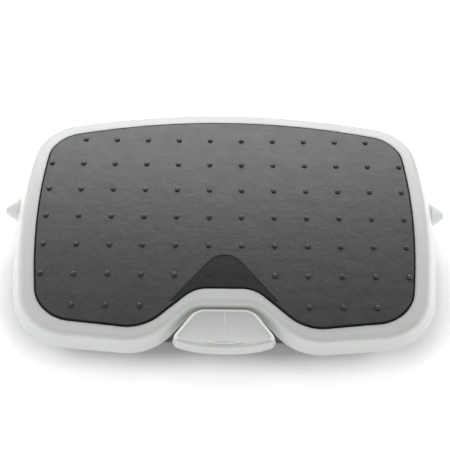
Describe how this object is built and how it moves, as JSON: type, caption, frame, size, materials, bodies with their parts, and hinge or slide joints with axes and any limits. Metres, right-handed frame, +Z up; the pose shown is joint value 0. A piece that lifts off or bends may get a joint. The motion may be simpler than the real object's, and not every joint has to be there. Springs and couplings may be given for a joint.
{
  "type": "footrest",
  "caption": "Low under-desk footrest: crowned, nubbed rubber mat on a grey tray that tilts on side axles and rises on a sprung frame released by a toe pedal.",
  "frame": {"origin": "middle of the footprint, on the floor under the feet", "axes": "+X to the right as seen by the user, the longest extent; +Y to the back, away from the pedal; +Z up"},
  "size_m": [0.6222, 0.3808, 0.1262],
  "materials": {
    "grey_plastic": "light grey, fine satin texture",
    "charcoal_plastic": "charcoal, satin",
    "black_plastic": "black, satin",
    "white_nylon": "natural, smooth",
    "mat_rubber": "dark grey, matte",
    "foot_rubber": "black, matte",
    "steel": "bright drawn",
    "zinc_steel": "zinc plated"
  },
  "bodies": {
    "base": {"base_shell": "charcoal_plastic", "foot_front_left": "foot_rubber", "foot_front_right": "foot_rubber", "foot_inner_left": "foot_rubber", "foot_inner_right": "foot_rubber", "foot_rear_left": "foot_rubber", "foot_rear_right": "foot_rubber", "guide_tower_left": "black_plastic", "guide_tower_right": "black_plastic", "lift_spring_left": "steel", "lift_spring_right": "steel", "lock_bracket": "zinc_steel", "lock_pin": "steel", "lock_screw_left": "zinc_steel", "lock_screw_right": "zinc_steel", "pedal_pin": "steel", "pedal_spring": "steel", "tower_screw_left_1": "zinc_steel", "tower_screw_left_2": "zinc_steel", "tower_screw_left_3": "zinc_steel", "tower_screw_right_1": "zinc_steel", "tower_screw_right_2": "zinc_steel", "tower_screw_right_3": "zinc_steel"},
    "lift_frame": {"axle_clip_left": "zinc_steel", "axle_clip_right": "zinc_steel", "axle_left": "steel", "axle_right": "steel", "beam_screw_left_front": "zinc_steel", "beam_screw_left_rear": "zinc_steel", "beam_screw_right_front": "zinc_steel", "beam_screw_right_rear": "zinc_steel", "bearing_block_left": "black_plastic", "bearing_block_right": "black_plastic", "friction_disc_left": "foot_rubber", "friction_disc_right": "foot_rubber", "lift_beam": "black_plastic", "lock_rod": "steel", "piston_left": "white_nylon", "piston_right": "white_nylon", "side_cap_left": "grey_plastic", "side_cap_right": "grey_plastic"},
    "platform": {"axle_bush_left": "white_nylon", "axle_bush_right": "white_nylon", "mat": "mat_rubber", "tray": "grey_plastic"},
    "pedal": {"foot_pedal": "grey_plastic", "rod_pin": "steel"},
    "pull_rod": {"pull_rod": "zinc_steel"},
    "lock_lever": {"lever_pin": "steel", "lock_lever": "zinc_steel"}
  },
  "joints": [
    {"name": "height_slide", "type": "slide", "parent": "base", "child": "lift_frame", "axis": [0, 0, 1], "range_m": [0, 0.038], "deforming": ["lift_spring_left", "lift_spring_right"]},
    {"name": "tilt_hinge", "type": "hinge", "parent": "lift_frame", "child": "platform", "pos_m": [0, 0.0362, 0.06465], "axis": [1, 0, 0], "range_deg": [-15, 5]},
    {"name": "pedal_hinge", "type": "hinge", "parent": "base", "child": "pedal", "pos_m": [0, -0.1232, 0.012], "axis": [1, 0, 0], "range_deg": [0, 8], "stiffness_Nm_per_rad": 8, "springref_deg": -5.73, "deforming": ["pedal_spring"]},
    {"name": "pull_rod_slide", "type": "slide", "parent": "base", "child": "pull_rod", "axis": [0, -1, 0], "range_m": [0, 0.0016]},
    {"name": "lock_lever_hinge", "type": "hinge", "parent": "base", "child": "lock_lever", "pos_m": [0, 0.0118, 0.044], "axis": [-1, 0, 0], "range_deg": [0, 4.5]}
  ],
  "couplings": [
    {"joint": "pull_rod_slide", "follows": "pedal_hinge", "m_per_rad": 0.011},
    {"joint": "lock_lever_hinge", "follows": "pedal_hinge", "ratio": 0.5238}
  ]
}
